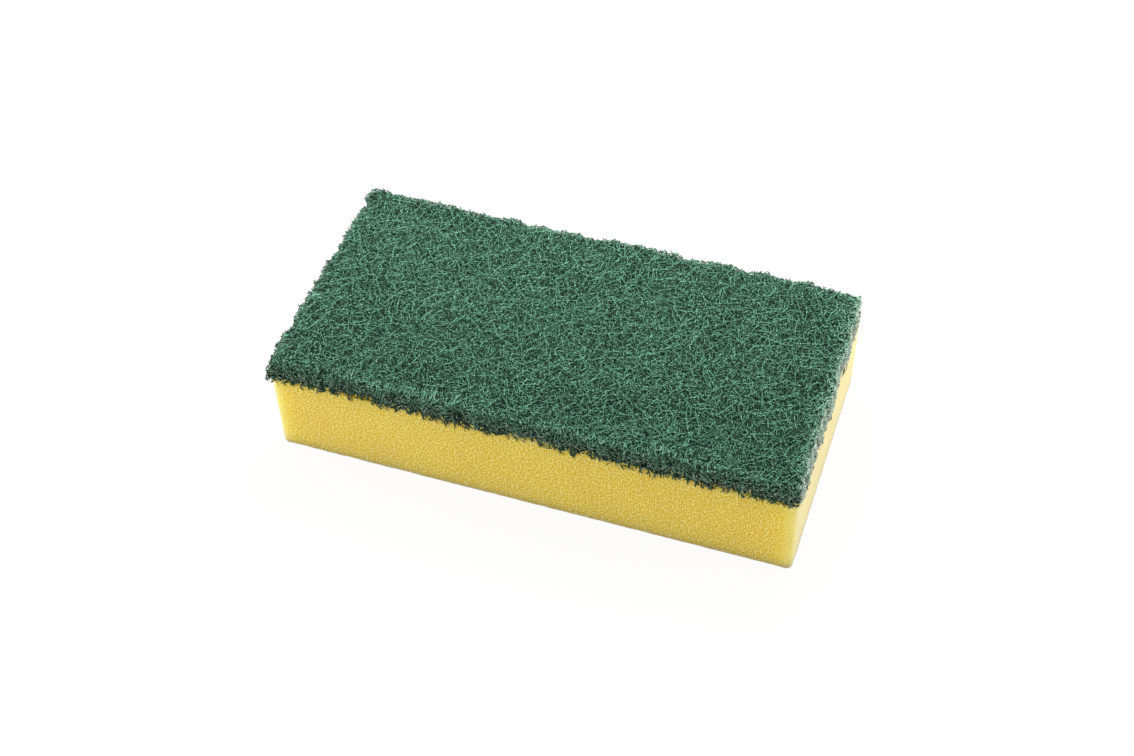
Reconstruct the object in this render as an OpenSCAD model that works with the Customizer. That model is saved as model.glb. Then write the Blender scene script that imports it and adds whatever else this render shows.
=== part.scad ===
// Cleaning sponge: a soft foam block with a coarse scouring pad bonded over its upper face.
// The origin is under the middle of the block, on the face that it rests on, with +X along its length.

/* [Block] */
// Length of the foam block
block_length = 140; // [80:1:200]
// Width of the foam block
block_width = 70; // [50:1:120]

/* [Foam] */
// Height of the foam block
foam_height = 25; // [10:0.5:50]
// Radius of the foam's upright edges
upright_edge_r = 1.4; // [0.4:0.1:5]
// Radius of the foam's lower edges
lower_edge_r = 0.6; // [0.3:0.1:4]

/* [Scouring pad] */
// Thickness of the pad at its highest swells
pad_thickness = 7; // [4:0.5:15]
// Reach of the longest tufts past the foam, at the line where the pad was cut
tuft_overhang = 0.4; // [0:0.1:1.5]
// Depth of the hollows between the tufts of the cut edge
tuft_hollow = 1.4; // [0.2:0.1:1.5]
// Spacing of the tufts along the cut edge
tuft_pitch = 4.2; // [2.5:0.1:10]
// Spacing of the tufts down the cut edge
layer_pitch = 2.6; // [1.5:0.1:6]
// Radius at which the upper face rolls over to the cut edge
edge_roll = 1.8; // [0.8:0.1:3]
// Depth of the hollows between the swells of the upper face
swell_hollow = 1.1; // [0.1:0.1:1.5]
// Spacing of the swells over the upper face
swell_pitch = 8; // [5:0.5:30]
// Number that sets where the tufts and swells fall
web_seed = 17; // [1:1:99]

/* [Hidden] */

foam_colour = [0.86, 0.73, 0.33];
pad_colour = [0.27, 0.42, 0.34];
arc_sides = 48;
cut_margin = 1;

// The web's surface is a mesh of facets about this far apart, with this many bands down its cut edge.
facet_pitch = 2.5;
edge_bands = 3;
// The bonded face is a coarser mesh, which starts this far inside the cut line.
bond_pitch = 10;
bond_margin = 6;

// The pad's own outline before its tufts are drawn in, and its upper face
pad_length = block_length + 2 * tuft_overhang;
pad_width = block_width + 2 * tuft_overhang;
pad_top = foam_height + pad_thickness;
cut_height = pad_thickness - edge_roll;

// A repeatable field of random numbers, joined by smooth slopes between its points
function smooth_step(t) = t * t * (3 - 2 * t);
function field_size(length, pitch) = ceil(length / pitch) + 3;
function random_field(columns, rows, seed) =
    let (values = rands(-1, 1, columns * rows, seed))
    [for (c = [0 : columns - 1]) [for (r = [0 : rows - 1]) values[c * rows + r]]];
function field_at(field, a, b) =
    let (
        c = floor(a),
        r = floor(b),
        s = smooth_step(a - c),
        t = smooth_step(b - r),
        low = field[c][r] * (1 - s) + field[c + 1][r] * s,
        high = field[c][r + 1] * (1 - s) + field[c + 1][r + 1] * s
    )
    low * (1 - t) + high * t;

// Swells: the upper face reaches the pad's full height on the swells and sinks in between them.
swell_field = random_field(
    field_size(pad_length, swell_pitch),
    field_size(pad_width, swell_pitch),
    web_seed
);
function face_sink(x, y) =
    let (a = (x + pad_length / 2) / swell_pitch, b = (y + pad_width / 2) / swell_pitch)
    swell_hollow * (1 + field_at(swell_field, a, b)) / 2;

// Roll: near the cut edge the upper face falls away on a quarter circle.
function past_roll(along, length) = max(0, abs(along) - (length / 2 - edge_roll)) / edge_roll;
function edge_fall(x, y) =
    let (past = min(1, norm([past_roll(x, pad_length), past_roll(y, pad_width)])))
    edge_roll * (1 - sqrt(1 - past * past));

// Tufts: the blade leaves the longest tufts at the cut line, and the hollows between them lie inside it.
// The distance along the cut line is counted round the pad from its front left corner.
perimeter = 2 * (pad_length + pad_width);
tuft_field = random_field(
    field_size(perimeter, tuft_pitch),
    field_size(pad_thickness, layer_pitch),
    web_seed + 1
);
function tuft_inset(around, height) =
    tuft_hollow * max(0, field_at(tuft_field, around / tuft_pitch, height / layer_pitch));
function front_inset(x, height) = tuft_inset(pad_length / 2 + x, height);
function right_inset(y, height) = tuft_inset(pad_length + pad_width / 2 + y, height);
function back_inset(x, height) = tuft_inset(pad_length + pad_width + pad_length / 2 - x, height);
function left_inset(y, height) = tuft_inset(perimeter - pad_width / 2 - y, height);

// A hollow draws in the web behind it too, less and less with the distance from the cut line.
draw_depth = edge_roll + 3 * tuft_hollow;
function draw_share(distance) = max(0, 1 - distance / draw_depth);
function drawn_in(along, length, low_inset, high_inset) =
    along
    + low_inset * draw_share(length / 2 + along)
    - high_inset * draw_share(length / 2 - along);
function web_place(x, y, height) = [
    drawn_in(x, pad_length, left_inset(y, height), right_inset(y, height)),
    drawn_in(y, pad_width, front_inset(x, height), back_inset(x, height))
];

// Lines across the upper face: close together over the roll, and evenly spaced between the rolls
roll_lines = [for (step = [0 : 30 : 60]) edge_roll * (1 - cos(step))];
function face_lines(length) =
    let (flat = length - 2 * edge_roll, count = round(flat / facet_pitch))
    concat(
        [for (line = roll_lines) line - length / 2],
        [for (i = [0 : count]) edge_roll + flat * i / count - length / 2],
        [for (i = [len(roll_lines) - 1 : -1 : 0]) length / 2 - roll_lines[i]]
    );
x_lines = face_lines(pad_length);
y_lines = face_lines(pad_width);
last_x = len(x_lines) - 1;
last_y = len(y_lines) - 1;
face_rows = last_y + 1;

function face_point(i, j) =
    let (
        x = x_lines[i],
        y = y_lines[j],
        fall = edge_fall(x, y),
        place = web_place(x, y, cut_height)
    )
    [place.x, place.y, pad_top - fall - face_sink(x, y) * (1 - fall / edge_roll)];
face_points = [for (i = [0 : last_x]) for (j = [0 : last_y]) face_point(i, j)];
function face_number(i, j) = i * face_rows + j;

// The rim runs once round the pad, from its front left corner, as pairs of line numbers.
rim = concat(
    [for (i = [0 : last_x - 1]) [i, 0]],
    [for (j = [0 : last_y - 1]) [last_x, j]],
    [for (i = [last_x : -1 : 1]) [i, last_y]],
    [for (j = [last_y : -1 : 1]) [0, j]]
);
rim_count = len(rim);
function rim_point(place, height) =
    let (drawn = web_place(x_lines[place.x], y_lines[place.y], height))
    [drawn.x, drawn.y, foam_height + height];
rim_points = [
    for (band = [0 : edge_bands - 1]) for (place = rim) rim_point(place, cut_height * band / edge_bands)
];
function rim_number(band, k) =
    let (place = rim[k % rim_count])
    band == edge_bands
    ? face_number(place.x, place.y)
    : len(face_points) + band * rim_count + k % rim_count;

// The bonded face: a plain grid inside the cut line, and a border of triangles from it to the rim
function bond_cells(length) = max(1, round((length - 2 * bond_margin) / bond_pitch));
x_cells = bond_cells(pad_length);
y_cells = bond_cells(pad_width);
function bond_line(length, cells, i) = (length - 2 * bond_margin) * (i / cells - 0.5);
bond_points = [
    for (i = [0 : x_cells]) for (j = [0 : y_cells])
        [bond_line(pad_length, x_cells, i), bond_line(pad_width, y_cells, j), foam_height]
];
function bond_number(i, j) = len(face_points) + len(rim_points) + i * (y_cells + 1) + j;
function nearest_line(along, length, cells) =
    min(cells, max(0, round((along / (length - 2 * bond_margin) + 0.5) * cells)));
function nearest_bond(k) =
    let (place = rim[k % rim_count])
    bond_number(
        nearest_line(x_lines[place.x], pad_length, x_cells),
        nearest_line(y_lines[place.y], pad_width, y_cells)
    );

// The foam's outline seen from above, rounded at its four upright edges
module rounded_rectangle(length, width, r) {
    for (x = [-1, 1], y = [-1, 1])
        translate([x * (length / 2 - r), y * (width / 2 - r)]) circle(r, $fn = arc_sides);
    square([length - 2 * r, width], center = true);
    square([length, width - 2 * r], center = true);
}

// The foam's outline seen from one side, rounded at its two lower edges
module foot_profile(width, height, r) {
    for (x = [-1, 1]) translate([x * (width / 2 - r), r]) circle(r, $fn = arc_sides);
    translate([-width / 2 + r, 0]) square([width - 2 * r, height]);
    translate([-width / 2, r]) square([width, height - r]);
}

module upright_profile(width, depth) {
    rotate([90, 0, 0])
        translate([0, 0, -depth / 2 - cut_margin])
            linear_extrude(depth + 2 * cut_margin)
                foot_profile(width, foam_height, lower_edge_r);
}

// The foam is three crossed profiles, so that its upright and lower edges are rounded, and its upper
// face is flat.
module foam_block() {
    color(foam_colour)
        intersection() {
            linear_extrude(foam_height)
                rounded_rectangle(block_length, block_width, upright_edge_r);
            upright_profile(block_length, block_width);
            rotate([0, 0, 90]) upright_profile(block_width, block_length);
        }
}

// The pad is one closed skin: its upper face, the bands of its cut edge, and the flat face that is
// bonded to the foam.
function halves(a, b, c, d) = [[a, b, c], [a, c, d]];
upper_face = [
    for (i = [0 : last_x - 1]) for (j = [0 : last_y - 1])
        each halves(
            face_number(i, j), face_number(i, j + 1),
            face_number(i + 1, j + 1), face_number(i + 1, j)
        )
];
cut_edge = [
    for (band = [0 : edge_bands - 1]) for (k = [0 : rim_count - 1])
        each halves(
            rim_number(band, k), rim_number(band + 1, k),
            rim_number(band + 1, k + 1), rim_number(band, k + 1)
        )
];
bond_grid = [
    for (i = [0 : x_cells - 1]) for (j = [0 : y_cells - 1])
        each halves(
            bond_number(i, j), bond_number(i + 1, j),
            bond_number(i + 1, j + 1), bond_number(i, j + 1)
        )
];
bond_border = [
    for (k = [0 : rim_count - 1])
        let (here = nearest_bond(k), next = nearest_bond(k + 1))
        each concat(
            [[rim_number(0, k), rim_number(0, k + 1), here]],
            next == here ? [] : [[rim_number(0, k + 1), next, here]]
        )
];

module scouring_pad() {
    color(pad_colour)
        polyhedron(
            concat(face_points, rim_points, bond_points),
            concat(upper_face, cut_edge, bond_grid, bond_border)
        );
}

foam_block();
scouring_pad();
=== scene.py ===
"""Dresses the cleaning sponge: open-cell foam below, and a lofty web of crimped fibres above."""

import logging
import math
from dataclasses import dataclass, replace
from enum import Enum
from typing import Any, Callable

import bmesh
import bpy
import numpy as np
from mathutils import Euler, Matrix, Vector
from mathutils.bvhtree import BVHTree


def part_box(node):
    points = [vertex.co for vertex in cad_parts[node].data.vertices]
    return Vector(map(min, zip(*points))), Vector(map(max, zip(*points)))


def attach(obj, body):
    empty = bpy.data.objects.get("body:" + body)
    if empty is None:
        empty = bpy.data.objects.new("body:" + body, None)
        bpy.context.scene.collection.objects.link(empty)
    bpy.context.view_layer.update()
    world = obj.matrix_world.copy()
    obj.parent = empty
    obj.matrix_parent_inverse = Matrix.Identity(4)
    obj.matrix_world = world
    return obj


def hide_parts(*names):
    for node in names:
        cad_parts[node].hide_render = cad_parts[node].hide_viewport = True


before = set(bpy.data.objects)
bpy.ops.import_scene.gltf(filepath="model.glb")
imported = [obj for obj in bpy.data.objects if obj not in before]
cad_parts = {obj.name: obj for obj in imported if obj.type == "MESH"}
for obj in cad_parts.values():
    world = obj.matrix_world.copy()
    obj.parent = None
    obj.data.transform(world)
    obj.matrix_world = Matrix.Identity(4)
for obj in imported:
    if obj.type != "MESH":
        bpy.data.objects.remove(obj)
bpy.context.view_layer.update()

log = logging.getLogger("sponge")
MM = 0.001
TURN = 2 * math.pi
TINY = 1e-12
JUST_INSIDE = 1e-6
BAKE_MAP = "OFBake"
PORE_MAP = "Pores"
Colour = tuple[float, float, float]
Span = tuple[float, float]
Piece = bpy.types.Object
Socket = bpy.types.NodeSocket


def mm(first: float, second: float) -> Span:
    """Turns two lengths in millimetres into metres."""
    return (first * MM, second * MM)


class Heading(Enum):
    """The way that the strands of a lay run over their face of the pad."""

    ANY = "any"
    HANGING = "hanging"


class Side(Enum):
    """The side of a block that is bonded and can't be seen."""

    UPPER = 1
    LOWER = -1


class Part(Enum):
    """A kind of part of a mesh in edit mode, and the list that holds it."""

    VERT = "verts"
    EDGE = "edges"
    FACE = "faces"


class Sheet:
    """A node tree being wired up, for a material or for a shared group."""

    def __init__(self, tree: bpy.types.NodeTree) -> None:
        """Starts on a tree, which is emptied."""
        self.tree = tree
        tree.nodes.clear()

    def add(self, kind: str, **settings: object) -> bpy.types.Node:
        """Adds one node.

        Args:
            kind: The node's type name, without its ShaderNode prefix.
            settings: Properties of the node, by name.
        Returns:
            The new node.
        """
        node = self.tree.nodes.new("ShaderNode" + kind)
        for name, value in settings.items():
            setattr(node, name, value)
        return node

    def feed(self, socket: Socket, value: object) -> None:
        """Sets an input to a plain value, or links it to the socket that feeds it."""
        if isinstance(value, Socket):
            self.tree.links.new(value, socket)
        else:
            socket.default_value = value

    def put(self, node: bpy.types.Node, **values: object) -> bpy.types.Node:
        """Sets or links a node's inputs.

        Args:
            node: The node whose inputs are meant.
            values: An input's name, with _ for a space, and its value or the socket that feeds it.
        Returns:
            The same node.
        """
        for name, value in values.items():
            self.feed(node.inputs[name.replace("_", " ")], value)
        return node

    def math(self, operation: str, a: object, b: object) -> Socket:
        """Joins two values by one sum.

        Args:
            operation: The Math node's operation.
            a: The first value or socket.
            b: The second value or socket.
        Returns:
            The result's socket.
        """
        node = self.add("Math", operation=operation)
        for socket, value in zip(node.inputs, (a, b)):
            self.feed(socket, value)
        return node.outputs[0]

    def ramp(self, factor: Socket, stops: list[tuple[float, Colour]]) -> Socket:
        """Turns a value into a colour.

        Args:
            factor: The value's socket.
            stops: Places from 0 to 1 with their colours, in order.
        Returns:
            The colour's socket.
        """
        node = self.add("ValToRGB")
        elements = node.color_ramp.elements
        while len(elements) < len(stops):
            elements.new(0.5)
        for element, (place, colour) in zip(elements, stops):
            element.position = place
            element.color = (*colour, 1)
        self.feed(node.inputs["Fac"], factor)
        return node.outputs["Color"]

    def shade(self, colour: Socket, factor: Socket) -> Socket:
        """Multiplies a colour by a value.

        Args:
            colour: The colour's socket.
            factor: The value's socket.
        Returns:
            The shaded colour's socket.
        """
        node = self.add("VectorMath", operation="SCALE")
        self.feed(node.inputs[0], colour)
        self.feed(node.inputs["Scale"], factor)
        return node.outputs["Vector"]

    def rescale(self, value: Socket, source: Span, target: Span = (0.0, 1.0)) -> Socket:
        """Maps one span of values onto another, and stops at its ends.

        Args:
            value: The value's socket.
            source: The span that the value is taken from.
            target: The span that it is mapped onto.
        Returns:
            The mapped value's socket.
        """
        node = self.add("MapRange")
        self.put(node, Value=value, From_Min=source[0], From_Max=source[1])
        self.put(node, To_Min=target[0], To_Max=target[1])
        return node.outputs["Result"]

    def blend(self, first: Socket, second: Socket | Colour, share: Socket) -> Socket:
        """Mixes two colours.

        Args:
            first: The colour's socket where the share is 0.
            second: The colour where the share is 1, plain or as a socket.
            share: The share's socket.
        Returns:
            The mixed colour's socket.
        """
        node = self.add("MixRGB")
        plain = isinstance(second, tuple)
        self.put(node, Fac=share, Color1=first, Color2=(*second, 1) if plain else second)
        return node.outputs["Color"]


def mottle_group() -> bpy.types.NodeTree:
    """Makes the slow, cloudy change of tone that foam and web share, once.

    Returns:
        The group, which takes a patch size and an amount and puts out a factor near 1.
    """
    name = "Mottle"
    if name in bpy.data.node_groups:
        return bpy.data.node_groups[name]
    group = bpy.data.node_groups.new(name, "ShaderNodeTree")
    for socket in ("Patches", "Amount"):
        group.interface.new_socket(socket, in_out="INPUT", socket_type="NodeSocketFloat")
    group.interface.new_socket("Factor", in_out="OUTPUT", socket_type="NodeSocketFloat")
    sheet = Sheet(group)
    inputs = group.nodes.new("NodeGroupInput").outputs
    outputs = group.nodes.new("NodeGroupOutput")
    place = sheet.add("TexCoord").outputs["Object"]
    clouds = sheet.add("TexNoise")
    sheet.put(clouds, Vector=place, Scale=inputs["Patches"], Detail=3.0, Roughness=0.55)
    offset = sheet.math("SUBTRACT", clouds.outputs["Fac"], 0.5)
    swing = sheet.math("MULTIPLY", offset, inputs["Amount"])
    group.links.new(sheet.math("ADD", swing, 1.0), outputs.inputs["Factor"])
    return group


def mottle(sheet: Sheet, patches_per_metre: float, amount: float) -> Socket:
    """Places the shared mottle in a material.

    Args:
        sheet: The material's sheet.
        patches_per_metre: How many patches lie along a metre.
        amount: How far the tone swings.
    Returns:
        The factor's socket.
    """
    node = sheet.add("Group")
    node.node_tree = mottle_group()
    sheet.put(node, Patches=patches_per_metre, Amount=amount)
    return node.outputs["Factor"]


def new_material(name: str) -> tuple[bpy.types.Material, Sheet, bpy.types.Node]:
    """Starts a material with one Principled shader.

    Args:
        name: The material's name.
    Returns:
        The material, its sheet and the shader.
    """
    material = bpy.data.materials.new(name)
    material.use_nodes = True
    sheet = Sheet(material.node_tree)
    shader = sheet.add("BsdfPrincipled")
    output = sheet.add("OutputMaterial")
    sheet.put(output, Surface=shader.outputs["BSDF"])
    return material, sheet, shader


@dataclass(frozen=True)
class FoamFinish:
    """Yellow open-cell foam: pale struts, golden pores, and light that soaks in.

    A fine grain breaks up the pores. Towards the block's ends they are fainter, and the foam is paler: a
    painted highlight of the brightly lit ends.
    """

    strut: Colour = (1.0, 0.82, 0.30)
    body: Colour = (0.93, 0.66, 0.076)
    pore: Colour = (0.64, 0.375, 0.006)
    stops: tuple[float, ...] = (0.15, 0.42, 0.72)
    # pale, pale_width and pale_share: the colour, width and share of the painted highlight at both ends
    pale: Colour = (1.0, 0.84, 0.46)
    half_length: float = 70.0 * MM
    # end_width and end_contrast: how far in and how much the pores fade at the ends, part of the painted
    # highlight
    end_width: float = 6.0 * MM
    end_contrast: float = 0.35
    pale_width: float = 3.5 * MM
    pale_share: float = 0.55
    pores_per_metre: float = 1560.0
    pore_disorder: float = 0.7
    pore_depth: float = 0.8
    mean_depth: float = 0.41
    grain_per_metre: float = 3400.0
    grain_share: float = 0.6
    bump: float = 0.2 * MM
    soak: float = 14.0 * MM
    soak_colour: Colour = (0.85, 0.95, 0.3)
    sheen: float = 0.5
    grazing: Span = (0.38, 0.75)
    patches_per_metre: float = 90.0
    patch_swing: float = 0.16

    def pores(self, sheet: Sheet, place: Socket, outward: Socket) -> Socket:
        """Says how deep the foam's surface lies in its pores.

        Args:
            sheet: The material's sheet.
            place: The place on the block.
            outward: The distance from the block's middle, lengthwise.
        Returns:
            The depth's socket, from 0 on a strut to 1 in a pore.
        """
        cells = sheet.put(
            sheet.add("TexVoronoi", voronoi_dimensions="2D"),
            Vector=sheet.add("UVMap", uv_map=PORE_MAP).outputs["UV"],
            Scale=self.pores_per_metre,
            Randomness=self.pore_disorder,
        )
        grain = sheet.put(sheet.add("TexNoise"), Vector=place, Scale=self.grain_per_metre, Detail=1.0)
        opened = sheet.math("SUBTRACT", self.pore_depth, cells.outputs["Distance"])
        centred = sheet.math("SUBTRACT", grain.outputs["Fac"], 0.5)
        fine = sheet.math("MULTIPLY", centred, self.grain_share)
        spread = sheet.math("SUBTRACT", sheet.math("ADD", opened, fine), self.mean_depth)
        # Painted highlight: the pores fade towards the ends.
        ends = (self.half_length - self.end_width, self.half_length)
        contrast = sheet.rescale(outward, ends, (1.0, self.end_contrast))
        return sheet.math("ADD", sheet.math("MULTIPLY", spread, contrast), self.mean_depth)

    def material(self) -> bpy.types.Material:
        """Makes the foam's material.

        Returns:
            The material.
        """
        material, sheet, shader = new_material("foam")
        place = sheet.add("TexCoord").outputs["Object"]
        along = sheet.put(sheet.add("SeparateXYZ"), Vector=place).outputs["X"]
        outward = sheet.math("ABSOLUTE", along, 0.0)
        hollow = self.pores(sheet, place, outward)
        cells = sheet.ramp(hollow, list(zip(self.stops, (self.strut, self.body, self.pore))))
        # Painted highlight: the foam pales towards both ends.
        ends = (self.half_length - self.pale_width, self.half_length)
        colour = sheet.blend(cells, self.pale, sheet.rescale(outward, ends, (0.0, self.pale_share)))
        patches = mottle(sheet, self.patches_per_metre, self.patch_swing)
        bump = sheet.put(sheet.add("Bump", invert=True), Strength=0.5, Distance=self.bump, Height=hollow)
        facing = sheet.put(sheet.add("LayerWeight"), Blend=0.5).outputs["Facing"]
        sheet.put(
            shader,
            Base_Color=sheet.shade(colour, patches),
            Roughness=0.9,
            Specular_IOR_Level=0.15,
            Subsurface_Weight=0.75,
            Subsurface_Scale=self.soak,
            Subsurface_Radius=self.soak_colour,
            Sheen_Weight=sheet.rescale(facing, self.grazing, (0.0, self.sheen)),
            Sheen_Roughness=0.5,
            Sheen_Tint=(1.0, 0.97, 0.85, 1),
            Normal=bump.outputs["Normal"],
        )
        return material


@dataclass(frozen=True)
class CoreFinish:
    """The web's dense inside, seen between its upper fibres, coloured dark as painted shade of the deep
    web.
    """

    # Painted shade: the deep web is dark because little light gets in, and these colours stand in for
    # that.
    dark: Colour = (0.004, 0.012, 0.008)
    light: Colour = (0.021, 0.047, 0.032)
    stops: Span = (0.35, 0.68)
    strands_per_metre: float = 1500.0
    bump: float = 0.3 * MM
    patches_per_metre: float = 90.0
    patch_swing: float = 0.4

    def material(self) -> bpy.types.Material:
        """Makes the core's material.

        Returns:
            The material.
        """
        material, sheet, shader = new_material("web_core")
        noise = sheet.add("TexNoise")
        sheet.put(noise, Scale=self.strands_per_metre, Detail=3.0, Roughness=0.6)
        sheet.put(noise, Vector=sheet.add("TexCoord").outputs["Object"])
        strands = noise.outputs["Fac"]
        colour = sheet.ramp(strands, list(zip(self.stops, (self.dark, self.light))))
        patches = mottle(sheet, self.patches_per_metre, self.patch_swing)
        bump = sheet.put(sheet.add("Bump"), Strength=0.6, Distance=self.bump, Height=strands)
        sheet.put(
            shader,
            Base_Color=sheet.shade(colour, patches),
            Roughness=0.85,
            Specular_IOR_Level=0.05,
            Normal=bump.outputs["Normal"],
        )
        return material


@dataclass(frozen=True)
class FleckFinish:
    """Torn bits of foam in the bond, deep yellow where the glue has soaked in."""

    colour: Colour = (0.95, 0.77, 0.15)

    def material(self) -> bpy.types.Material:
        """Makes the flecks' material.

        Returns:
            The material.
        """
        material, sheet, shader = new_material("bond_fleck")
        sheet.put(shader, Base_Color=(*self.colour, 1), Roughness=0.9, Specular_IOR_Level=0.05)
        return material


@dataclass(frozen=True)
class FibreFinish:
    """Resin-coated fibres, each with its own tone of green, and greyer where lint clings to a cut; at
    the right end the greying is a painted highlight.
    """

    greens: tuple[Colour, ...] = (
        (0.008, 0.022, 0.015), (0.065, 0.152, 0.101),
        (0.232, 0.580, 0.388), (0.255, 0.640, 0.430), (0.600, 0.850, 0.720),
    )
    greys: tuple[Colour, ...] = (
        (0.018, 0.024, 0.014), (0.138, 0.143, 0.078),
        (0.430, 0.455, 0.360), (0.520, 0.550, 0.450), (0.840, 0.870, 0.800),
    )
    tones: tuple[float, ...] = (0.0, 0.25, 0.5, 0.65, 1.0)
    runs_per_metre: float = 1500.0
    swing: float = 0.30
    patches_per_metre: float = 110.0
    patch_swing: float = 0.12

    def material(self) -> bpy.types.Material:
        """Makes the fibres' material.

        Returns:
            The material.
        """
        material, sheet, shader = new_material("web_fibre")
        names = ("run", "lint", "tone")
        run, lint, own = (sheet.add("Attribute", attribute_name=name).outputs["Fac"] for name in names)
        # Painted glints: each strand's tone rises and falls in short dashes along its length.
        streaks = sheet.put(
            sheet.add("TexNoise", noise_dimensions="1D"), W=run, Scale=self.runs_per_metre, Detail=1.0
        )
        glint_dashes = sheet.rescale(streaks.outputs["Fac"], (0.5 - self.swing, 0.5 + self.swing))
        tone = sheet.math("MULTIPLY", own, glint_dashes)
        green = sheet.ramp(tone, list(zip(self.tones, self.greens)))
        grey = sheet.ramp(tone, list(zip(self.tones, self.greys)))
        patches = mottle(sheet, self.patches_per_metre, self.patch_swing)
        colour = sheet.shade(sheet.blend(green, grey, lint), patches)
        sheet.put(shader, Base_Color=colour, Roughness=0.6, Specular_IOR_Level=0.1)
        return material


def select(obj: Piece, part: Part, wanted: Callable[[Any], bool]) -> int:
    """Selects parts of the mesh in edit mode, and nothing else.

    Args:
        obj: The object in edit mode.
        part: The kind of part.
        wanted: Says whether a part is selected.
    Returns:
        How many parts are selected.
    """
    bpy.ops.mesh.select_mode(type=part.name)
    bpy.ops.mesh.select_all(action="DESELECT")
    mesh = bmesh.from_edit_mesh(obj.data)
    items = getattr(mesh, part.value)
    items.index_update()
    chosen = [item for item in items if wanted(item)]
    for item in chosen:
        item.select_set(True)
    mesh.select_flush_mode()
    bmesh.update_edit_mesh(obj.data)
    return len(chosen)


def place_number(place: Vector, unit: float = 0.01 * MM, most: int = 100_000) -> float:
    """Gives a place a number of its own, counted in units along each axis."""
    x, y, z = (round(value / unit) for value in place)
    return float((z * most + y) * most + x)


def settle_order(obj: Piece) -> None:
    """Sorts the mesh in edit mode by place, because bevel and subdivide leave it in no fixed order.

    Args:
        obj: The object in edit mode.
    """
    mesh = bmesh.from_edit_mesh(obj.data)
    mesh.verts.sort(key=lambda v: place_number(v.co))
    mesh.edges.sort(key=lambda e: place_number((e.verts[0].co + e.verts[1].co) / 2))
    mesh.faces.sort(key=lambda f: place_number(f.calc_center_median()))
    for part in Part:
        getattr(mesh, part.value).index_update()
    bmesh.update_edit_mesh(obj.data)


def link_new(name: str, data: bpy.types.ID) -> Piece:
    """Makes an object of a mesh, lamp or camera and puts it into the scene.

    Args:
        name: The object's name.
        data: What the object holds.
    Returns:
        The object.
    """
    obj = bpy.data.objects.new(name, data)
    bpy.context.scene.collection.objects.link(obj)
    return obj


def apply_modifier(obj: Piece, kind: str, **settings: object) -> None:
    """Adds a modifier and applies it.

    Args:
        obj: The object, which becomes the active one.
        kind: The modifier's type.
        settings: Properties of the modifier, by name.
    """
    bpy.context.view_layer.objects.active = obj
    modifier = obj.modifiers.new(kind.lower(), kind)
    for name, value in settings.items():
        setattr(modifier, name, value)
    bpy.ops.object.modifier_apply(modifier=modifier.name)


def read_numbers(items: bpy.types.bpy_prop_collection, name: str, width: int = 1) -> np.ndarray:
    """Reads one property of every item of a mesh, as rows.

    Args:
        items: The mesh's vertices, loops or polygons.
        name: The property.
        width: How many numbers each item holds.
    Returns:
        The numbers.
    """
    found = np.empty(len(items) * width, np.float32 if width > 1 else np.int32)
    items.foreach_get(name, found)
    return found.reshape(-1, width).astype(float) if width > 1 else found


def triangles(obj: Piece) -> int:
    """Counts a mesh object's triangles."""
    return int((read_numbers(obj.data.polygons, "loop_total") - 2).sum())


def box_map(obj: Piece, bonded: Side, pores: bool, gap: float = 1.0 * MM) -> None:
    """Gives a block-shaped piece its bake map, on which each face lies on the chart of its own side.

    Args:
        obj: The piece.
        bonded: The side that can't be seen, which gets a very small chart.
        pores: Whether the piece has pores, which need the same map in metres.
        gap: The room between two charts.
    """
    mesh = obj.data
    places = read_numbers(mesh.vertices, "co", 3)
    normals = read_numbers(mesh.polygons, "normal", 3)
    axis = np.abs(normals).argmax(1)
    ahead = normals[np.arange(len(axis)), axis] > 0
    side = np.repeat(2 * axis + ahead, read_numbers(mesh.polygons, "loop_total"))
    corner = places[read_numbers(mesh.loops, "vertex_index")] - places.min(0)
    x, y, z = corner.T
    length, width, height = np.ptp(places, 0)
    seen = width + gap
    rows = [seen + (height + gap) * number for number in range(3)]
    hidden_side = 5 if bonded is Side.UPPER else 4
    charts = {
        0: (y, z + rows[2]),
        1: (y + width + gap, z + rows[2]),
        2: (x, z + rows[0]),
        3: (x, z + rows[1]),
        4: (x, y),
        5: (x, y),
    }
    span = np.array([max(length, 2 * width + gap), rows[2] + height + gap])
    places_on_map = np.zeros((len(side), 2))
    for number, (across, up) in charts.items():
        chart = np.stack([across, up], 1) / span
        if number == hidden_side:
            chart = 1.0 - chart * gap / span
        places_on_map[side == number] = chart[side == number]
    scales = {BAKE_MAP: 1.0, PORE_MAP: span} if pores else {BAKE_MAP: 1.0}
    for name, scale in scales.items():
        layer = mesh.uv_layers.new(name=name)
        layer.data.foreach_set("uv", (places_on_map * scale).astype(np.float32).ravel())


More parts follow.
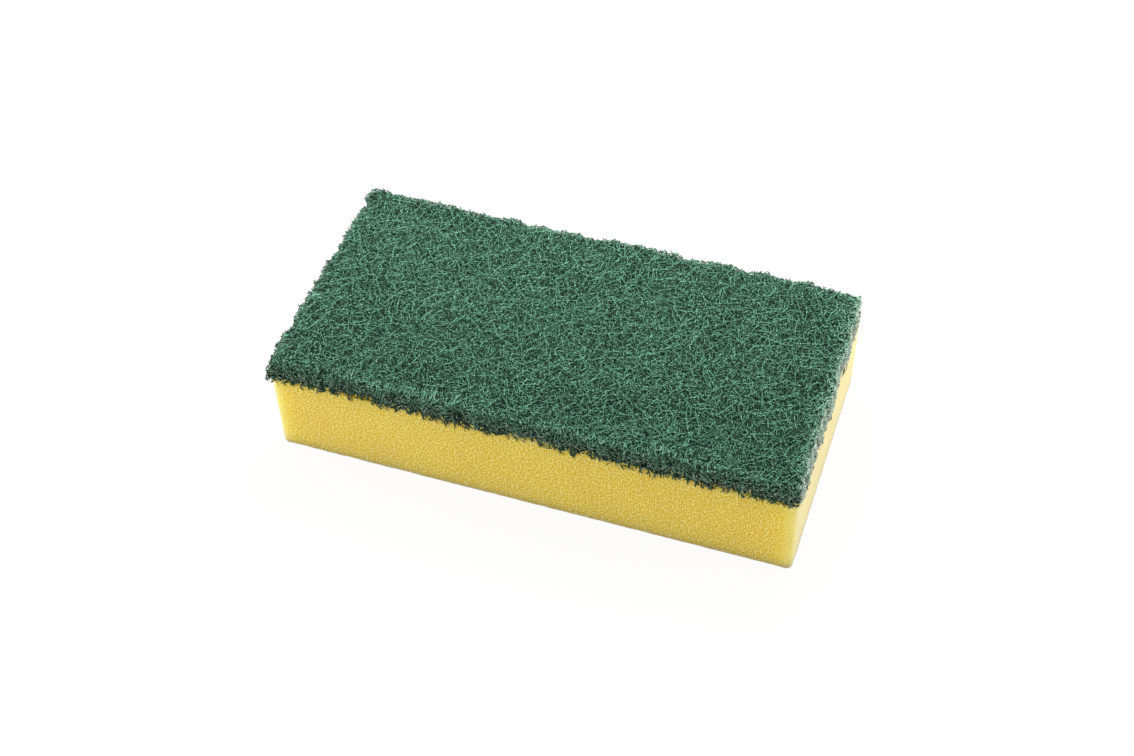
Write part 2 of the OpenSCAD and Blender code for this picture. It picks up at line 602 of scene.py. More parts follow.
@dataclass
class FoamBlock:
    """The foam block, whose cut faces are covered in small open cells."""

    low: Vector
    high: Vector
    upright_edge: float = 1.4 * MM
    lower_edge: float = 0.6 * MM
    cell: float = 2.1 * MM
    jitter: float = 0.10 * MM
    pit: float = 0.04 * MM
    pit_spread: float = 0.05 * MM
    tolerance: float = 0.01 * MM
    coarse_cuts: int = 10
    straight: float = 0.99
    seed: int = 5

    def build(self) -> Piece:
        """Models the block with its cells.

        Returns:
            The finished piece.
        """
        size = self.high - self.low
        bpy.ops.object.select_all(action="DESELECT")
        bpy.ops.mesh.primitive_cube_add(size=1, location=(self.low + self.high) / 2)
        obj = bpy.context.object
        obj.name = obj.data.name = "foam"
        obj.scale = size
        bpy.ops.object.transform_apply(location=True, rotation=True, scale=True)
        obj.data.uv_layers.remove(obj.data.uv_layers[0])
        bpy.ops.object.mode_set(mode="EDIT")
        self.round_edges(obj)
        self.cut_grid(obj, size)
        self.press_cells(obj)
        bpy.ops.object.mode_set(mode="OBJECT")
        box_map(obj, Side.UPPER, pores=True)
        return obj

    def round_edges(self, obj: Piece) -> None:
        """Rounds the upright and lower edges and opens the hidden upper face.

        Args:
            obj: The block in edit mode.
        """
        foot = self.low.z + self.tolerance
        top = self.high.z - self.tolerance
        select(obj, Part.EDGE, lambda e: abs(e.verts[0].co.z - e.verts[1].co.z) > self.lower_edge)
        bpy.ops.mesh.bevel(offset=self.upright_edge, segments=3, affect="EDGES")
        select(obj, Part.EDGE, lambda e: all(v.co.z < foot for v in e.verts))
        bpy.ops.mesh.bevel(offset=self.lower_edge, segments=2, affect="EDGES")
        select(obj, Part.FACE, lambda f: all(v.co.z > top for v in f.verts))
        bpy.ops.mesh.delete(type="FACE")

    def cut_grid(self, obj: Piece, size: Vector) -> None:
        """Cuts the faces into squares about one cell wide.

        Args:
            obj: The block in edit mode.
            size: The block's length, width and height.
        """
        shortest = 2 * self.cell
        for axis in range(3):
            fine_cuts = max(1, round(size[axis] / self.cell / self.coarse_cuts))

            def runs_along(edge: bmesh.types.BMEdge) -> bool:
                """Says whether an edge runs along the axis and is still to be cut."""
                way = edge.verts[1].co - edge.verts[0].co
                return way.length > shortest and abs(way[axis]) > self.straight * way.length

            for squares in (self.coarse_cuts, fine_cuts):
                if squares > 1 and select(obj, Part.EDGE, runs_along):
                    bpy.ops.mesh.subdivide(number_cuts=squares - 1)

    def press_cells(self, obj: Piece) -> None:
        """Shifts the grid's corners at random, presses a pit into each square and closes the top.

        Args:
            obj: The block in edit mode.
        """
        settle_order(obj)
        rims = select(obj, Part.VERT, lambda v: True)
        bpy.ops.transform.vertex_random(offset=self.jitter, seed=self.seed)
        select(obj, Part.FACE, lambda f: True)
        bpy.ops.mesh.poke(offset=-self.pit)
        select(obj, Part.VERT, lambda v: v.index >= rims)
        bpy.ops.transform.vertex_random(offset=self.pit_spread, normal=1.0, seed=self.seed + 1)
        for vertex in bmesh.from_edit_mesh(obj.data).verts:
            vertex.co.z = max(vertex.co.z, self.low.z)
        bmesh.update_edit_mesh(obj.data)
        select(obj, Part.EDGE, lambda e: e.is_boundary)
        bpy.ops.mesh.edge_face_add()

    def dress(self, obj: Piece, finish: FoamFinish) -> None:
        """Gives the foam its finish and its place in the frame.

        Args:
            obj: The foam piece.
            finish: The foam's finish.
        """
        obj.data.materials.append(finish.material())
        obj.data.shade_smooth()
        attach(obj, "root")
        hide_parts("foam_block")


@dataclass
class WebFace:
    """One face of the pad, as a flat sheet of places with the web's own height over it."""

    corner: Vector
    along: Vector
    up: Vector
    length: float
    height: float
    step: float = 0.5 * MM
    nudge: float = 0.02 * MM

    def __post_init__(self) -> None:
        """Works out the way that the face looks."""
        self.out = self.along.cross(self.up)

    def measure(self, web: BVHTree, reach: float) -> None:
        """Measures how far the web stands out over the sheet, and where there is none.

        Args:
            web: The web's outer form.
            reach: How far outside the sheet the measuring starts.
        """
        columns = round(self.length / self.step) + 1
        rows = round(self.height / self.step) + 1
        self.relief = np.full((columns, rows), np.nan)
        for c in range(columns):
            for r in range(rows):
                up = max(r * self.step, self.nudge)
                start = self.corner + self.along * (c * self.step) + self.up * up
                hit = web.ray_cast(start + self.out * reach, -self.out, 2 * reach)
                if hit[0] is not None:
                    self.relief[c, r] = reach - hit[3]
        self.cover = ~np.isnan(self.relief)
        self.fill_misses()

    def fill_misses(self) -> None:
        """Gives each place that no web lies under the height of its nearest row and column."""
        for sheet in (self.relief.T, self.relief):
            for line in sheet:
                known = np.flatnonzero(~np.isnan(line))
                if len(known):
                    line[:] = np.interp(np.arange(len(line)), known, line[known])

    def covers(self, u: np.ndarray, v: np.ndarray) -> np.ndarray:
        """Says whether the web lies under places of the face.

        Args:
            u: Distances along the face.
            v: Distances up the face.
        Returns:
            True where it does.
        """
        last = np.array(self.cover.shape) - 1
        i = np.clip(np.rint(u / self.step), 0, last[0]).astype(int)
        j = np.clip(np.rint(v / self.step), 0, last[1]).astype(int)
        return self.cover[i, j]

    def lift(self, u: np.ndarray, v: np.ndarray) -> np.ndarray:
        """Looks up the web's height.

        Args:
            u: Distances along the face.
            v: Distances up the face.
        Returns:
            The heights over the sheet.
        """
        last = np.array(self.relief.shape) - 1
        a = np.clip(u / self.step, 0, last[0] - JUST_INSIDE)
        b = np.clip(v / self.step, 0, last[1] - JUST_INSIDE)
        i, j = a.astype(int), b.astype(int)
        s, t = a - i, b - j
        low = self.relief[i, j] * (1 - s) + self.relief[i + 1, j] * s
        high = self.relief[i, j + 1] * (1 - s) + self.relief[i + 1, j + 1] * s
        return low * (1 - t) + high * t

    def place(self, u: np.ndarray, v: np.ndarray, w: np.ndarray) -> np.ndarray:
        """Turns distances along, up and out of the face into points of the frame."""
        axes = np.array([self.along, self.up, self.out])
        return np.array(self.corner) + np.stack([u, v, w], -1) @ axes


@dataclass(frozen=True)
class Strands:
    """A bundle of strands: their points, radii, and tone, lint and painted glare, and distance run at
    each point.
    """

    paths: np.ndarray
    radii: np.ndarray
    tone: np.ndarray
    lint: np.ndarray
    run: np.ndarray


def even_spread(rng: np.random.Generator, count: int) -> tuple[np.ndarray, np.ndarray]:
    """Spreads places over a unit square with no bare patches, by steps of the plastic ratio.

    Args:
        rng: The source of random numbers, for the first place.
        count: How many places there are.
    Returns:
        Two columns of shares, across and up.
    """
    ratio = 1.32471795724
    number = np.arange(count)[:, None]
    across = (rng.random() + number / ratio) % 1
    upward = (rng.random() + number / ratio**2) % 1
    return across, upward


@dataclass(frozen=True)
class Lay:
    """One kind of strand, and how it lies on a face of the pad, in metres and radians."""

    per_area: float
    length: Span
    radius: Span
    depth: Span
    tone: Span
    heading: Heading = Heading.ANY
    points: int = 6
    bend: float = 60.0
    crimp: float = 0.2
    wave: Span = mm(1.3, 2.4)
    weave: float = 0.22 * MM
    # fade: the depth under the web's surface at which a strand's tone has fallen to nothing, a painted
    # shade of the deep web
    fade: float = 0.38 * MM
    rise: Span = (0.0, 0.0)
    lint: Span = (0.0, 0.0)
    lint_and_glare_fall: float = 1.0
    clear: float = -5.0 * MM
    overrun: Span = mm(-0.3, 0.1)
    band: Span = (0.0, 1.0)
    clump: float = 0.0
    clump_shift: Span = (0.1, 0.9)
    clump_reach: Span = (0.15, 1.0)
    clump_tightness: float = 6.0
    hanging_spread: float = 0.6
    trial_steps: int = 4
    shortest: float = 0.6 * MM

    def headings(self, rng: np.random.Generator, count: int) -> np.ndarray:
        """Draws the strands' directions, as angles from the face's length.

        Args:
            rng: The source of random numbers.
            count: How many strands there are.
        Returns:
            One column of angles.
        """
        if self.heading is Heading.HANGING:
            return rng.normal(-math.pi / 2, self.hanging_spread, (count, 1))
        return rng.uniform(0.0, math.pi, (count, 1))

    def gather(
        self, u: np.ndarray, length: float, rng: np.random.Generator
    ) -> tuple[np.ndarray, np.ndarray]:
        """Draws strands together into clumps, some long and some short.

        Args:
            u: The strands' places along the face.
            length: The face's length.
            rng: The source of random numbers.
        Returns:
            The new places, and each strand's share of the full reach.
        """
        clumps = math.ceil(length / self.clump)
        number = np.clip((u / self.clump).astype(int), 0, clumps - 1)
        middle = (np.arange(clumps) + rng.uniform(*self.clump_shift, clumps)) * self.clump
        share = rng.uniform(*self.clump_reach, clumps)
        spread = rng.normal(0.0, self.clump / self.clump_tightness, u.shape)
        return middle[number] + spread, share[number]

    def strands(self, face: WebFace, rng: np.random.Generator) -> Strands:
        """Lays the strands over a face.

        Args:
            face: The face of the pad.
            rng: The source of random numbers.
        Returns:
            The strands.
        """
        count = round(self.per_area * face.length * face.height * (self.band[1] - self.band[0]))
        fine = self.trial_steps * (self.points - 1) + 1
        middle = fine // 2

        def draw(span: Span) -> np.ndarray:
            """Draws one value a strand."""
            return rng.uniform(*span, (count, 1))

        length, turn = draw(self.length), self.headings(rng, count)
        s = np.linspace(-0.5, 0.5, fine)[None] * length
        curl = self.crimp * np.sin(TURN * s / draw(self.wave) + draw((0, TURN)))
        way = turn + rng.normal(0.0, self.bend, (count, 1)) * s + curl
        step = length / (fine - 1)
        u, v = np.cumsum(np.cos(way) * step, 1), np.cumsum(np.sin(way) * step, 1)
        across, upward = even_spread(rng, count)
        start, room = across * face.length, draw(self.overrun)
        if self.clump:
            start, share = self.gather(start, face.length, rng)
            room = room * share
        bottom, top = self.band
        u += start - u[:, middle, None]
        v += (bottom + (top - bottom) * upward) * face.height - v[:, middle, None]
        inside = (u > -room) & (u < face.length + room) & (v > -room) & (v < face.height + room)
        inside &= face.covers(u, v)
        kept = inside[:, middle].copy()
        after = np.cumprod(inside[:, middle:], 1).sum(1) - 1
        before = np.cumprod(inside[:, middle::-1], 1).sum(1) - 1
        index = middle + np.linspace(-before, after, self.points, axis=1)
        low = np.clip(index.astype(int), 0, fine - 2)
        part = index - low

        def along(values: np.ndarray) -> np.ndarray:
            """Reads values at the points that are kept."""
            first = np.take_along_axis(values, low, 1)
            return first + (np.take_along_axis(values, low + 1, 1) - first) * part

        u, v, s = along(u), along(v), along(s)
        over = draw(self.depth) + draw(self.rise) * (s - s[:, :1])
        over += self.weave * np.sin(TURN * s / draw(self.wave) + draw((0, TURN)))
        # Painted shade: the deeper a strand lies under the web's surface, the darker its tone.
        tone = draw(self.tone) * (1 - np.clip(-over / self.fade, 0, 1))
        lint = np.repeat(draw(self.lint) * (1 - self.lint_and_glare_fall * upward), self.points, 1)
        run = s + draw((0.0, 1.0))
        kept &= (after + before) * step[:, 0] > self.shortest
        paths = face.place(u, v, np.maximum(face.lift(u, v), self.clear) + over)
        return Strands(paths[kept], draw(self.radius)[kept, 0], tone[kept], lint[kept], run[kept])


def join(bundles: list[Strands]) -> Strands:
    """Puts bundles of strands together into one."""
    fields = ("paths", "radii", "tone", "lint", "run")
    return Strands(*(np.concatenate([getattr(bundle, name) for bundle in bundles]) for name in fields))


class Border(Enum):
    """A border of the pad: the axis that it lies across, and the way out."""

    LEFT = (0, -1)
    RIGHT = (0, 1)
    FRONT = (1, -1)
    BACK = (1, 1)


def hump(places: np.ndarray, middle: float, width: float) -> np.ndarray:
    """Gives a smooth hump over places on a line, 1 high in its middle."""
    return np.exp(-(((places - middle) / width) ** 2))


@dataclass
class Rim:
    """The pad's ragged rim, where columns of fibres stand out or back.

    The left and back borders are fuller and meet in an ear, and the far right corner is rounded.
    The front rim and the right end get a painted highlight, paler and greyer at the right end, and the
    far rims get painted shade.
    """

    low: Vector
    high: Vector
    seed: int
    pitch: Span = mm(0.4, 1.8)
    reach: float = 0.65 * MM
    width: float = 2.5 * MM
    ear: float = 1.4 * MM
    fuller: float = 0.6 * MM
    ear_width: float = 2.5 * MM
    # The width of the painted highlight at the right end.
    pale_width: float = 4.5 * MM
    # The next two: the width and strength of the painted highlight along the front rim.
    front_highlight_width: float = 2.2 * MM
    lift: float = 0.36
    # The next two: the width and strength of the painted shade along the far rims.
    far_shade_width: float = 1.5 * MM
    far_shade: float = 0.42
    # The next four: how much paler and greyer the right end's strands are, as painted highlight, and how
    # deep and how strong it is in the cut edge.
    end_highlight: float = 1.4
    greying: float = 0.35
    cut_edge_highlight_depth: float = 1.2 * MM
    cut_edge_highlight: float = 0.9
    corner_cut: float = 1.0 * MM
    corner_width: float = 1.6 * MM
    shoulder: float = 0.5 * MM
    shoulder_width: float = 3.5 * MM

    def __post_init__(self) -> None:
        """Draws the columns of each border."""
        rng = np.random.default_rng(self.seed)
        self.columns = {}
        for border in Border:
            other = 1 - border.value[0]
            start, end = self.low[other], self.high[other]
            count = math.ceil((end - start) / self.pitch[0])
            knots = start + np.cumsum(rng.uniform(*self.pitch, count))
            heights = rng.uniform(-self.reach, self.reach, len(knots))
            if border is Border.LEFT:
                heights += self.fuller * np.clip((knots - start) / (end - start), 0, 1)
                heights += self.ear * hump(knots, end, self.ear_width)
            elif border is Border.BACK:
                heights += self.fuller
                heights += self.ear * hump(knots, start, self.ear_width)
                heights += self.shoulder * hump(knots, end - self.shoulder_width, self.shoulder_width)
            elif border is Border.RIGHT:
                heights -= self.corner_cut * hump(knots, end, self.corner_width)
            self.columns[border] = (knots, heights)

    def nearness(self, paths: np.ndarray, border: Border, width: float) -> np.ndarray:
        """Says how near to a border points lie.

        Args:
            paths: The points.
            border: The border.
            width: How far from the border the nearness has fallen to 0.
        Returns:
            1 at the border or past it, and less inside.
        """
        axis, way = border.value
        edge = self.high[axis] if way > 0 else self.low[axis]
        return np.clip(1 - way * (edge - paths[..., axis]) / width, 0, 1)

    def fray(self, points: np.ndarray, swell: float = 0.0) -> np.ndarray:
        """Moves points out or back with the columns of the rim.

        Args:
            points: The points.
            swell: How much farther out they all move at the rim.
        Returns:
            The moved points.
        """
        moved = points.copy()
        for border, columns in self.columns.items():
            axis, way = border.value
            near = self.nearness(points, border, self.width)
            moved[..., axis] += way * near * (swell + np.interp(points[..., 1 - axis], *columns))
        return moved

    def fade(self, bundle: Strands) -> Strands:
        """Recolours the upper face with painted light: a highlight along the front rim, shade along the
        far rims, and a paler, greyer highlight at the right end.

        Args:
            bundle: The strands.
        Returns:
            The recoloured strands.
        """
        # Painted highlight along the front rim.
        near = self.nearness(bundle.paths, Border.FRONT, self.front_highlight_width)
        # Painted highlight at the right end, which is paler and greyer.
        end = self.nearness(bundle.paths, Border.RIGHT, self.pale_width)
        back = self.nearness(bundle.paths, Border.BACK, self.far_shade_width)
        left = self.nearness(bundle.paths, Border.LEFT, self.far_shade_width)
        # Painted shade along the far rims.
        shade = self.far_shade * np.maximum(back, left)
        tone = bundle.tone * (1 + self.lift * near + self.end_highlight * end**2 - shade)
        # The grey added at the right end is part of its painted highlight.
        return replace(bundle, tone=tone, lint=bundle.lint + self.greying * end**2)

    def whiten(self, bundle: Strands) -> Strands:
        """Paints a highlight on the strands of a cut edge at the right end, which are made paler and
        greyer.

        Args:
            bundle: The strands.
        Returns:
            The recoloured strands.
        """
        end = self.nearness(bundle.paths, Border.RIGHT, self.cut_edge_highlight_depth)
        # Painted highlight of the lit right end: the cut edge's strands are paler and greyer there.
        tone = bundle.tone * (1 + self.cut_edge_highlight * end)
        return replace(bundle, tone=tone, lint=bundle.lint + self.greying * end)


class TubeMesh:
    """A mesh of closed three-sided tubes, one for each strand, with its own bake map."""

    sides = 3
    tip = 0.55
    cell_ratio = 4
    margin = 0.05
    cap_rows = (0.05, 0.35, 0.65)
    slant = (0.31, 0.17, 0.93)

    def __init__(self, name: str, bundle: Strands) -> None:
        """Takes the strands.

        Args:
            name: The piece's name.
            bundle: The strands.
        """
        self.name = name
        self.bundle = bundle
        self.count, self.points = bundle.paths.shape[:2]

    def rings(self) -> np.ndarray:
        """Works out the corners of each tube, ring after ring."""
        paths = self.bundle.paths
        ahead = np.gradient(paths, axis=1)
        ahead /= np.linalg.norm(ahead, axis=2, keepdims=True) + TINY
        aside = np.cross(ahead, np.array(self.slant))
        aside /= np.linalg.norm(aside, axis=2, keepdims=True) + TINY
        above = np.cross(aside, ahead)
        taper = np.ones(self.points)
        taper[[0, -1]] = self.tip
        reach = (self.bundle.radii[:, None] * taper)[:, :, None]
        turns = TURN * np.arange(self.sides) / self.sides
        return np.stack([paths + reach * (math.cos(a) * aside + math.sin(a) * above) for a in turns], 2)

    def faces(self) -> tuple[np.ndarray, np.ndarray]:
        """Numbers the corners of the tubes' walls and of their end caps.

        Returns:
            The walls' corners, four to a row, and the caps' corners, three to a row.
        """
        sides, points = self.sides, self.points
        first = (np.arange(self.count) * points * sides)[:, None, None]
        ring = (np.arange(points - 1) * sides)[None, :, None]
        side = np.arange(sides)[None, None, :]
        beside = (side + 1) % sides
        here, there = first + ring, first + ring + sides
        corners = (here + side, here + beside, there + beside, there + side)
        walls = np.stack(np.broadcast_arrays(*corners), -1)
        last = first[:, 0] + (points - 1) * sides
        caps = np.concatenate([first[:, 0] + np.arange(sides)[::-1], last + np.arange(sides)])
        return walls.reshape(-1, 4), caps

    def bake_places(self) -> np.ndarray:
        """Lays each strand in a cell of its own on the bake map, unrolled lengthwise."""
        columns = math.ceil(math.sqrt(self.count / self.cell_ratio))
        grid = np.array([columns, math.ceil(self.count / columns)])
        number = np.arange(self.count)
        cell = np.stack([number % columns, number // columns], -1)[:, None, None]
        near = np.array([[0, 0], [0, 1], [1, 1], [1, 0]])
        a = (np.arange(self.points - 1)[:, None, None] + near[:, 0]) / (self.points - 1)
        b = (np.arange(self.sides)[None, :, None] + near[:, 1]) / self.sides
        within = np.stack(np.broadcast_arrays(a, b), -1).reshape(-1, 4, 2)
        walls = (cell + self.margin + within[None] * (1 - 2 * self.margin)) / grid
        ends = (self.margin, 1 - self.margin)
        caps = [(cell[:, 0] + np.array([[end, row] for row in self.cap_rows])) / grid for end in ends]
        return np.concatenate([walls.ravel(), *(cap.ravel() for cap in caps)])

    def build(self) -> Piece:
        """Makes the mesh and its object.

        Returns:
            The piece.
        """
        walls, caps = self.faces()
        corners = np.concatenate([walls.ravel(), caps.ravel()])
        wall_starts = np.arange(len(walls)) * walls.shape[1]
        cap_starts = walls.size + np.arange(len(caps)) * self.sides
        starts = np.concatenate([wall_starts, cap_starts])
        mesh = bpy.data.meshes.new(self.name)
        mesh.vertices.add(self.count * self.points * self.sides)
        mesh.loops.add(len(corners))
        mesh.polygons.add(len(starts))
        mesh.vertices.foreach_set("co", self.rings().astype(np.float32).ravel())
        mesh.loops.foreach_set("vertex_index", corners.astype(np.int32))
        mesh.polygons.foreach_set("loop_start", starts.astype(np.int32))
        mesh.update(calc_edges=True)
        mesh.shade_smooth()
        for name in ("tone", "lint", "run"):
            values = np.repeat(getattr(self.bundle, name), self.sides, 1)
            attribute = mesh.attributes.new(name, "FLOAT", "POINT")
            attribute.data.foreach_set("value", values.astype(np.float32).ravel())
        layer = mesh.uv_layers.new(name=BAKE_MAP)
        layer.data.foreach_set("uv", self.bake_places().astype(np.float32))
        return link_new(self.name, mesh)


@dataclass
class ScouringPad:
    """The scouring pad: a dense core, coloured dark as painted shade, and the web of fibres over it and
    round its edge.
    """

    low: Vector
    high: Vector
    sink: float = 0.6 * MM
    voxel: float = 1.1 * MM
    lumps: tuple[Span, ...] = (mm(3.0, 0.7), mm(1.4, 0.5))
    weld: float = 0.001 * MM
    rim_swell: float = 0.35 * MM
    foam_face: float = -0.4 * MM
    probe: float = 5.0 * MM
    flecks: str = "bond_flecks"
    seed: int = 11

    def __post_init__(self) -> None:
        """Draws the ragged rim that the core and the fibres share."""
        self.rim = Rim(self.low, self.high, self.seed)

    def build_core(self) -> Piece:
        """Models the core from the pad's own form, drawn in and roughened.

        Returns:
            The core.
        """
        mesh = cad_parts["scouring_pad"].data.copy()
        obj = link_new("web_core", mesh)
        mesh.materials.clear()
        bpy.ops.object.select_all(action="DESELECT")
        obj.select_set(True)
        bpy.context.view_layer.objects.active = obj
        bpy.ops.object.mode_set(mode="EDIT")
        bpy.ops.mesh.select_all(action="SELECT")
        bpy.ops.mesh.remove_doubles(threshold=self.weld)
        bpy.ops.object.mode_set(mode="OBJECT")
        self.outer = BVHTree.FromPolygons(
            [v.co.copy() for v in mesh.vertices], [tuple(p.vertices) for p in mesh.polygons]
        )
        apply_modifier(obj, "REMESH", mode="VOXEL", voxel_size=self.voxel)
        bonded = [v.index for v in obj.data.vertices if v.co.z < self.low.z + self.voxel / 2]
        for size, strength in self.lumps:
            texture = bpy.data.textures.new("web_lumps", "CLOUDS")
            texture.noise_scale = size
            apply_modifier(
                obj, "DISPLACE", texture=texture, texture_coords="LOCAL", strength=strength,
                mid_level=0.5 + self.sink / strength / len(self.lumps),
            )
        for index in bonded:
            obj.data.vertices[index].co.z = self.low.z
        places = self.rim.fray(read_numbers(obj.data.vertices, "co", 3), self.rim_swell)
        obj.data.vertices.foreach_set("co", places.astype(np.float32).ravel())
        obj.data.update()
        box_map(obj, Side.LOWER, pores=False)
        return obj

    def faces(self) -> list[WebFace]:
        """Measures the pad's upper face and its four cut edges.

        Returns:
            The top, front, right, back and left faces.
        """
        low, high = self.low, self.high
        x, y, z = Vector((1, 0, 0)), Vector((0, 1, 0)), Vector((0, 0, 1))
        size = high - low
        faces = [
            WebFace(Vector((low.x, low.y, high.z)), x, y, size.x, size.y),
            WebFace(Vector((low.x, low.y, low.z)), x, z, size.x, size.z),
            WebFace(Vector((high.x, low.y, low.z)), y, z, size.y, size.z),
            WebFace(Vector((high.x, high.y, low.z)), -x, z, size.x, size.z),
            WebFace(Vector((low.x, high.y, low.z)), -y, z, size.y, size.z),
        ]
        for face in faces:
            face.measure(self.outer, self.probe)
        return faces

    def lay_web(self) -> dict[str, Piece]:
        """Lays the fibres over the core, and the flecks of foam that cling to them along the bond.

        Returns:
            The pieces by name.
        """
        rng = np.random.default_rng(self.seed)
        top, front, right, back, left = self.faces()
        fine, coarse = mm(0.072, 0.108), mm(0.10, 0.17)
        upper = Lay(
            0.80e6, mm(1.1, 2.8), mm(0.066, 0.100), mm(-0.30, 0.0), (0.56, 0.98),
            points=4, bend=45.0, crimp=0.08, weave=0.14 * MM, overrun=mm(-0.6, 0.0),
        )
        strewn = Lay(
            0.13e6, mm(2.8, 8.0), mm(0.052, 0.074), mm(0.0, 0.10), (0.74, 0.98),
            points=8, bend=110.0, crimp=0.12, weave=0.06 * MM, fade=0.8 * MM, overrun=mm(-0.6, 0.0),
        )
        # The inner strands' low tones are painted shade of the deep web.
        inner = Lay(
            0.30e6, mm(2.5, 5.0), fine, mm(-0.65, -0.35), (0.2, 0.6), points=5, fade=1.2 * MM
        )
        cut_end = Lay(
            1.2e6, mm(0.6, 1.1), mm(0.13, 0.21), mm(-0.2, 0.0), (0.15, 0.7),
            points=4, weave=0.05 * MM, fade=1.0 * MM, rise=(0.2, 0.9),
            overrun=mm(0.0, 0.2), band=(0.5, 1.0), clump=1.5 * MM,
        )
        edge = Lay(
            1.9e6, mm(1.0, 2.8), fine, mm(-0.40, 0.05), (0.82, 1.18),
            points=5, fade=0.9 * MM, lint=(0.15, 1.1), lint_and_glare_fall=0.85, overrun=mm(-0.2, 0.1),
        )
        far_edge = replace(edge, tone=(0.50, 0.82))
        # Pale, grey strands on the right face: a painted highlight of the strongly lit right end.
        highlit_end = Lay(
            2.8e6, mm(0.8, 2.0), mm(0.062, 0.095), mm(-0.3, 0.05), (1.85, 2.45),
            points=5, fade=3.0 * MM, lint=(0.5, 1.0), lint_and_glare_fall=0.3,
            overrun=mm(-0.3, 0.1), band=(0.0, 0.9), clear=self.foam_face,
        )
        tuft = Lay(
            2.3e6, mm(1.2, 3.0), coarse, mm(0.0, 0.3), (0.1, 0.5),
            heading=Heading.HANGING, points=5, weave=0.1 * MM, rise=(0.0, 0.1), lint=(0.0, 0.2),
            overrun=mm(0.5, 2.3), band=(-0.05, 0.18), clump=1.7 * MM, clear=self.foam_face,
        )
        notch = replace(tuft, per_area=0.25e6, clump=5.0 * MM, overrun=mm(0.2, 1.3))
        short_tuft = replace(tuft, depth=mm(-0.35, 0.0), overrun=mm(0.2, 1.0))
        fleck = Lay(
            0.65e6, mm(0.6, 1.3), coarse, mm(0.05, 0.35), (0.0, 0.0),
            points=5, weave=0.05 * MM, overrun=mm(0.0, 0.1), band=(0.0, 0.22), clump=2.6 * MM,
            clear=self.foam_face,
        )
        pieces = {}
        for name, lay, places in (
            ("upper_web_1", upper, [top]),
            ("upper_web_2", upper, [top]),
            ("upper_web_3", upper, [top]),
            ("strewn_web", strewn, [top]),
            ("inner_web", inner, [top]),
            ("edge_web", edge, [front, right]),
            ("far_edge_web", far_edge, [back, left]),
            ("sawn_end", highlit_end, [right]),
            ("seam_tufts", tuft, [front, back]),
            ("left_tufts", short_tuft, [left]),
            ("end_tufts", notch, [right]),
            ("cut_ends", cut_end, [front, back, left]),
            (self.flecks, fleck, [front, back]),
        ):
            bundle = join([lay.strands(face, rng) for face in places])
            if lay in (upper, strewn):
                bundle = self.rim.fade(bundle)
            elif lay is edge:
                bundle = self.rim.whiten(bundle)
            bundle = replace(bundle, paths=self.rim.fray(bundle.paths))
            pieces[name] = TubeMesh(name, bundle).build()
        return pieces

    def dress(self, core: Piece, strands: dict[str, Piece]) -> None:
        """Gives the pad its finishes and its place in the frame.

        Args:
            core: The core.
            strands: The fibre pieces and the foam flecks.
        """
        core.data.materials.append(CoreFinish().material())
        core.data.shade_smooth()
        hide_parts("scouring_pad")
        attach(core, "root")
        fibre, gold = FibreFinish().material(), FleckFinish().material()
        for name, obj in strands.items():
            obj.data.materials.append(gold if name == self.flecks else fibre)
            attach(obj, "root")


@dataclass(frozen=True)
class Lamp:
    """A soft lamp that looks at the sponge, in degrees, metres and watts."""

    name: str
    azimuth: float
    elevation: float
    distance: float
    width: float
    height: float
    watts: float


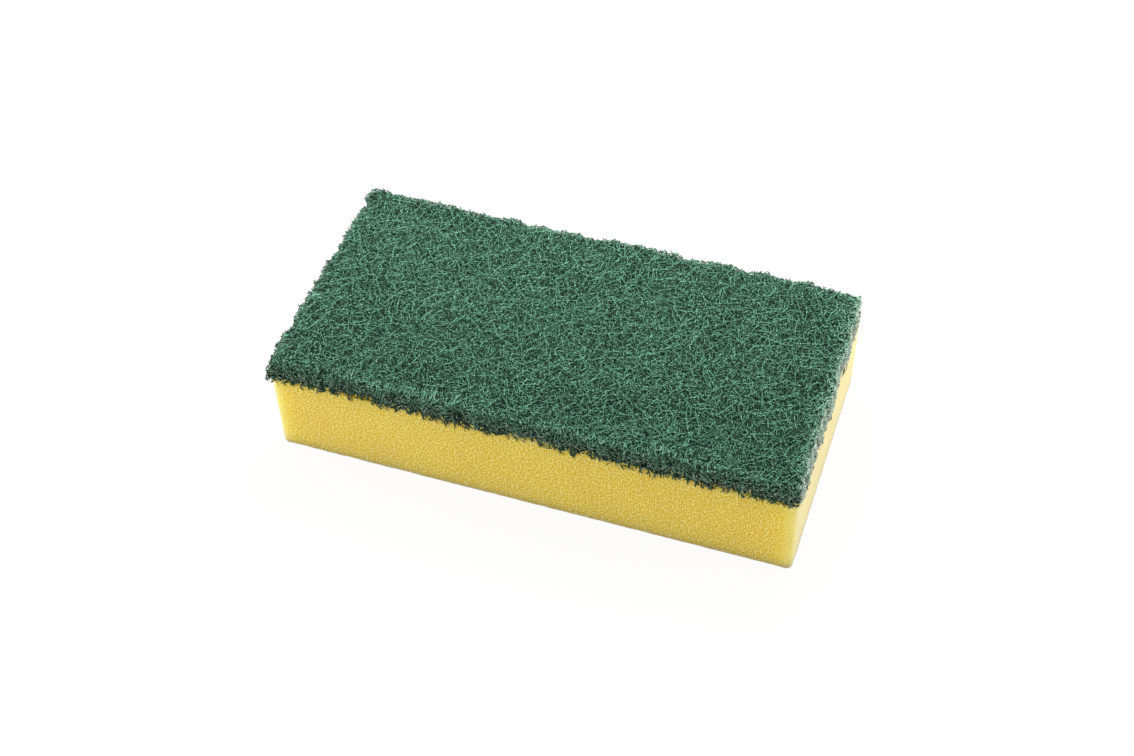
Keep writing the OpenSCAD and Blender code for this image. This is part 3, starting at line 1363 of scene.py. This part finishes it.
@dataclass
class Studio:
    """The camera at the photograph's angle, soft lamps, and a white floor that keeps a faint shadow."""

    aim: Vector = Vector((0.0003, -0.0037, 0.0160))
    azimuth: float = 20.17
    elevation: float = 46.74
    roll: float = -1.73
    distance: float = 0.4669
    lens: float = 56.0
    sensor: float = 36.0
    lamps: tuple[Lamp, ...] = (
        Lamp("right", 110.0, 22.0, 0.75, 0.45, 0.45, 4.05),
        Lamp("left", -105.0, 35.0, 0.75, 0.45, 0.45, 3.2),
        Lamp("back", 180.0, 56.0, 0.16, 0.26, 0.08, 0.325),
        Lamp("front", -28.0, 19.0, 0.90, 0.70, 0.70, 5.08),
    )
    world_level: float = 0.30
    floor_size: float = 6.0
    floor_drop: float = 0.05 * MM
    floor_glow: float = 0.92
    floor_seen: Colour = (0.95, 0.95, 0.95)
    floor_bounce: Colour = (0.40, 0.38, 0.33)

    def build(self) -> None:
        """Sets up the camera, the lamps, the world and the floor."""
        self.set_camera()
        for lamp in self.lamps:
            self.add_lamp(lamp)
        self.set_world()
        self.add_floor()
        bpy.context.scene.view_settings.view_transform = "Standard"

    def outward(self, azimuth: float, elevation: float) -> Vector:
        """Gives the way from the object to a place round it.

        Args:
            azimuth: Degrees round to the right of the front.
            elevation: Degrees above the floor.
        Returns:
            A vector one metre long.
        """
        a, e = math.radians(azimuth), math.radians(elevation)
        return Vector((math.sin(a) * math.cos(e), -math.cos(a) * math.cos(e), math.sin(e)))

    def stand(
        self, obj: Piece, azimuth: float, elevation: float, distance: float, roll: float = 0.0
    ) -> None:
        """Stands a camera or a lamp round the object, looking at it.

        Args:
            obj: The camera or lamp.
            azimuth: Degrees round to the right of the front.
            elevation: Degrees above the floor.
            distance: Metres away.
            roll: Degrees that it is turned about its own line of sight.
        """
        way = self.outward(azimuth, elevation)
        obj.location = self.aim + way * distance
        turn = way.to_track_quat("Z", "Y") @ Euler((0, 0, math.radians(roll))).to_quaternion()
        obj.rotation_euler = turn.to_euler()

    def set_camera(self) -> None:
        """Places the camera where the photograph was taken from."""
        data = bpy.data.cameras.new("camera")
        data.lens, data.sensor_width = self.lens, self.sensor
        camera = link_new("camera", data)
        self.stand(camera, self.azimuth, self.elevation, self.distance, self.roll)
        bpy.context.scene.camera = camera

    def add_lamp(self, lamp: Lamp) -> None:
        """Adds one lamp.

        Args:
            lamp: The lamp's place and strength.
        """
        data = bpy.data.lights.new(lamp.name, "AREA")
        data.shape, data.energy = "RECTANGLE", lamp.watts
        data.size, data.size_y = lamp.width, lamp.height
        self.stand(link_new(lamp.name, data), lamp.azimuth, lamp.elevation, lamp.distance)

    def seen_directly(self, sheet: Sheet) -> Socket:
        """Says whether a ray comes from the camera, or from gloss or glass.

        Args:
            sheet: The tree of the world or the floor.
        Returns:
            The answer's socket, 0 or 1.
        """
        path = sheet.add("LightPath").outputs
        seen = sheet.math("MAXIMUM", path["Is Camera Ray"], path["Is Glossy Ray"])
        return sheet.math("MAXIMUM", seen, path["Is Transmission Ray"])

    def set_world(self) -> None:
        """Lights the sponge evenly from a world that looks white."""
        world = bpy.data.worlds.new("studio")
        world.use_nodes = True
        bpy.context.scene.world = world
        sheet = Sheet(world.node_tree)
        spare = sheet.math("MULTIPLY", self.seen_directly(sheet), 1.0 - self.world_level)
        strength = sheet.math("ADD", spare, self.world_level)
        ground = sheet.put(sheet.add("Background"), Color=(1, 1, 1, 1), Strength=strength)
        sheet.put(sheet.add("OutputWorld"), Surface=ground.outputs["Background"])

    def add_floor(self) -> None:
        """Lays the floor, which looks white and takes the shadow, but throws little light back up."""
        bpy.ops.object.select_all(action="DESELECT")
        bpy.ops.mesh.primitive_plane_add(size=self.floor_size, location=(0, 0, -self.floor_drop))
        floor = bpy.context.object
        floor.name = "floor"
        bpy.ops.object.transform_apply(location=True, rotation=True, scale=True)
        material, sheet, shader = new_material("floor")
        seen = self.seen_directly(sheet)
        colour = sheet.ramp(seen, [(0.0, self.floor_bounce), (1.0, self.floor_seen)])
        sheet.put(shader, Base_Color=colour, Roughness=0.9, Specular_IOR_Level=0.1)
        glow = sheet.put(sheet.add("Emission"), Color=(1, 1, 1, 1), Strength=1.0)
        mix = sheet.put(sheet.add("MixShader"), Fac=sheet.math("MULTIPLY", seen, self.floor_glow))
        material.node_tree.links.new(shader.outputs["BSDF"], mix.inputs[1])
        material.node_tree.links.new(glow.outputs["Emission"], mix.inputs[2])
        output = next(n for n in material.node_tree.nodes if n.type == "OUTPUT_MATERIAL")
        sheet.put(output, Surface=mix.outputs["Shader"])
        floor.data.materials.append(material)


def main() -> None:
    """Builds the studio and the sponge, and reports each piece."""
    logging.basicConfig(level=logging.INFO, format="%(name)s: %(message)s")
    Studio().build()
    block = FoamBlock(*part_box("foam_block"))
    foam = block.build()
    block.dress(foam, FoamFinish(half_length=block.high.x))
    pad = ScouringPad(*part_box("scouring_pad"))
    core = pad.build_core()
    strands = pad.lay_web()
    pad.dress(core, strands)
    total = 0
    for piece in (foam, core, *strands.values()):
        count = triangles(piece)
        total += count
        log.info("%s: %d triangles", piece.name, count)
    log.info("%d triangles in all", total)


if __name__ == "__main__":
    main()
